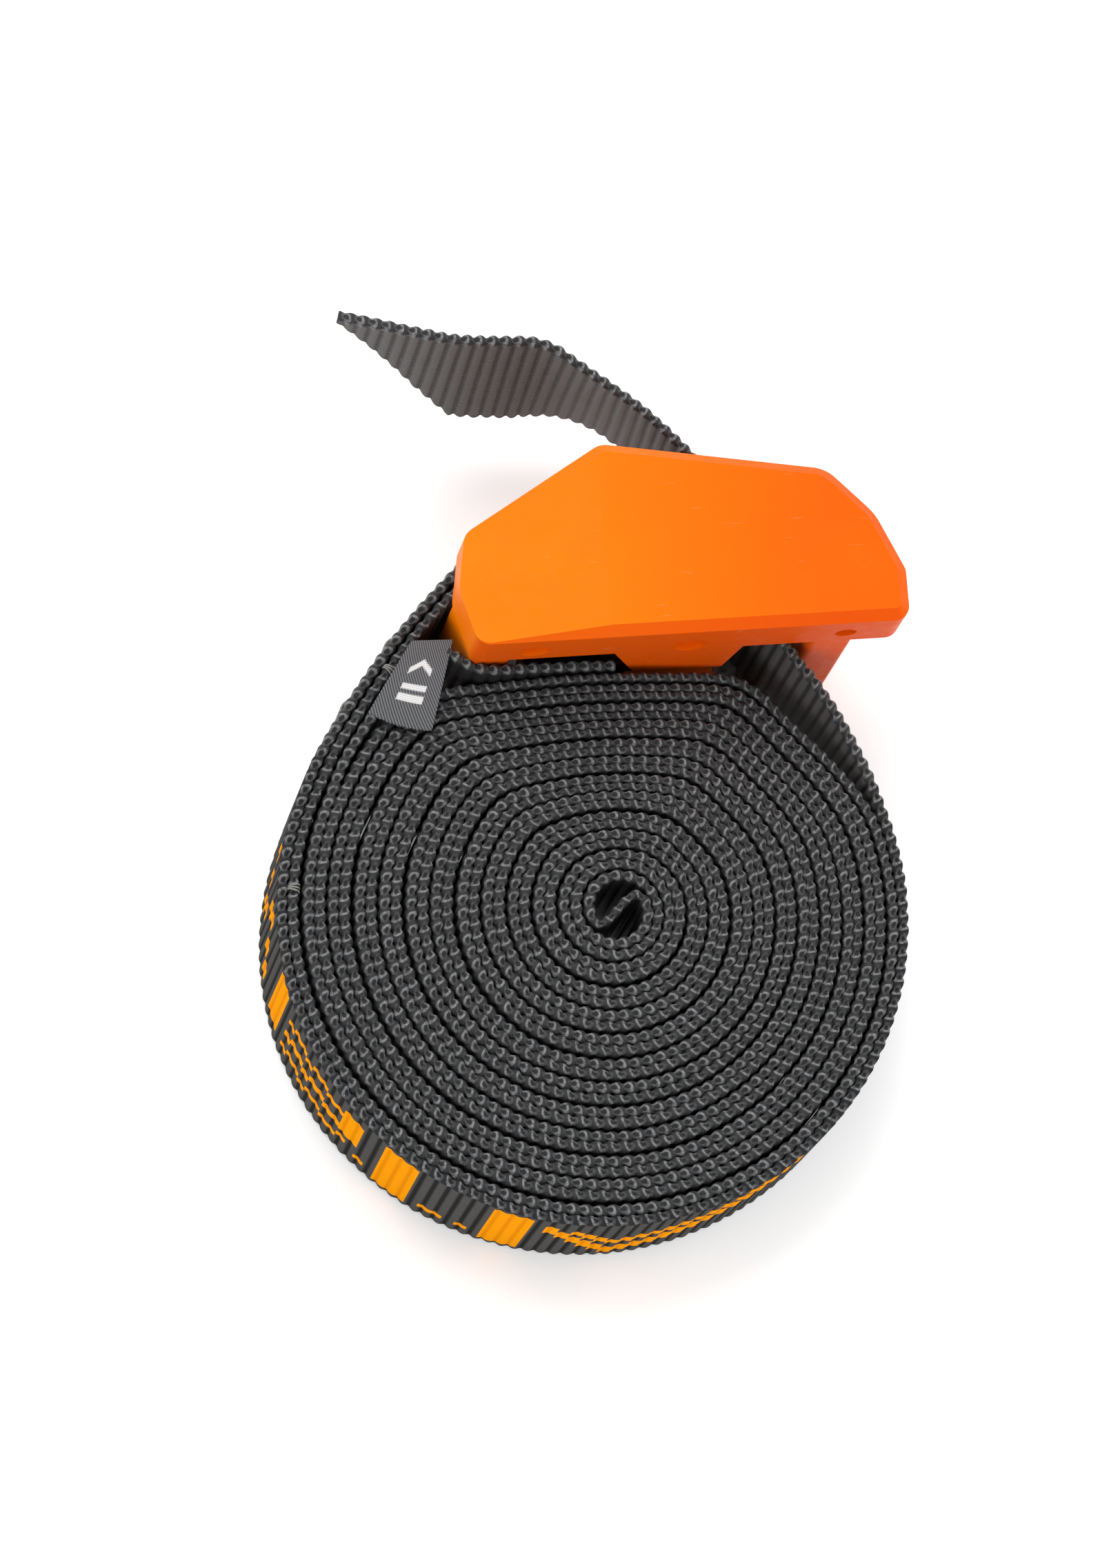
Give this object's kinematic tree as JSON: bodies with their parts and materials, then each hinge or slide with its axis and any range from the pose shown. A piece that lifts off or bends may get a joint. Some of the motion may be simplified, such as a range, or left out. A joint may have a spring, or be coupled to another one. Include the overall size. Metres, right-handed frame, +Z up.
{
  "type": "cam buckle lashing strap",
  "caption": "Cam-buckle lashing strap with 25 mm webbing rolled flat beside its moulded buckle; a sprung thumb lever frees the strap.",
  "frame": {"origin": "middle of the footprint of the whole object, on the surface it lies on", "axes": "+Z up along the webbing's width; +X along the buckle from its loop end to its entry end; +Y from the roll towards the buckle's thumb side"},
  "size_m": [0.0885, 0.129, 0.045],
  "materials": {
    "orange_plastic": "smooth moulded, satin",
    "black_plastic": "fine moulded grain",
    "zinc_steel": "bright zinc plate",
    "bright_steel": "turned and polished",
    "spring_steel": "dark spring steel",
    "cast_zinc": "die cast, tumbled",
    "webbing": "ribbed woven polyester, charcoal with orange figures",
    "thread": "polyester sewing thread",
    "label_satin": "woven satin"
  },
  "bodies": {
    "strap_and_buckle": {"cover_upper": "orange_plastic", "cover_lower": "orange_plastic", "end_bridge": "orange_plastic", "entry_bridge": "orange_plastic", "bridge_dowels": "bright_steel", "cheek_upper": "zinc_steel", "cheek_lower": "zinc_steel", "base_plate": "zinc_steel", "anvil_bar": "bright_steel", "anvil_clips": "spring_steel", "loop_bar": "bright_steel", "cam_axle": "bright_steel", "cam_axle_clips": "spring_steel", "lever_stop": "bright_steel", "cover_screws_upper": "zinc_steel", "cover_screws_lower": "zinc_steel", "cam_washers": "bright_steel", "torsion_spring": "spring_steel", "strap_roll": "webbing", "strap_loop": "webbing", "strap_feed": "webbing", "strap_tail": "webbing", "loop_stitching": "thread", "label_tag": "label_satin"},
    "cam_lever": {"cam": "cast_zinc", "thumb_pad": "black_plastic", "thumb_pad_rivets": "bright_steel"}
  },
  "joints": [
    {"name": "lever_hinge", "type": "hinge", "parent": "strap_and_buckle", "child": "cam_lever", "pos_m": [0.01337, 0.02621, 0.0225], "axis": [0, 0, 1], "range_deg": [0, 20], "stiffness_Nm_per_rad": 0.06, "springref_deg": -20.05}
  ]
}
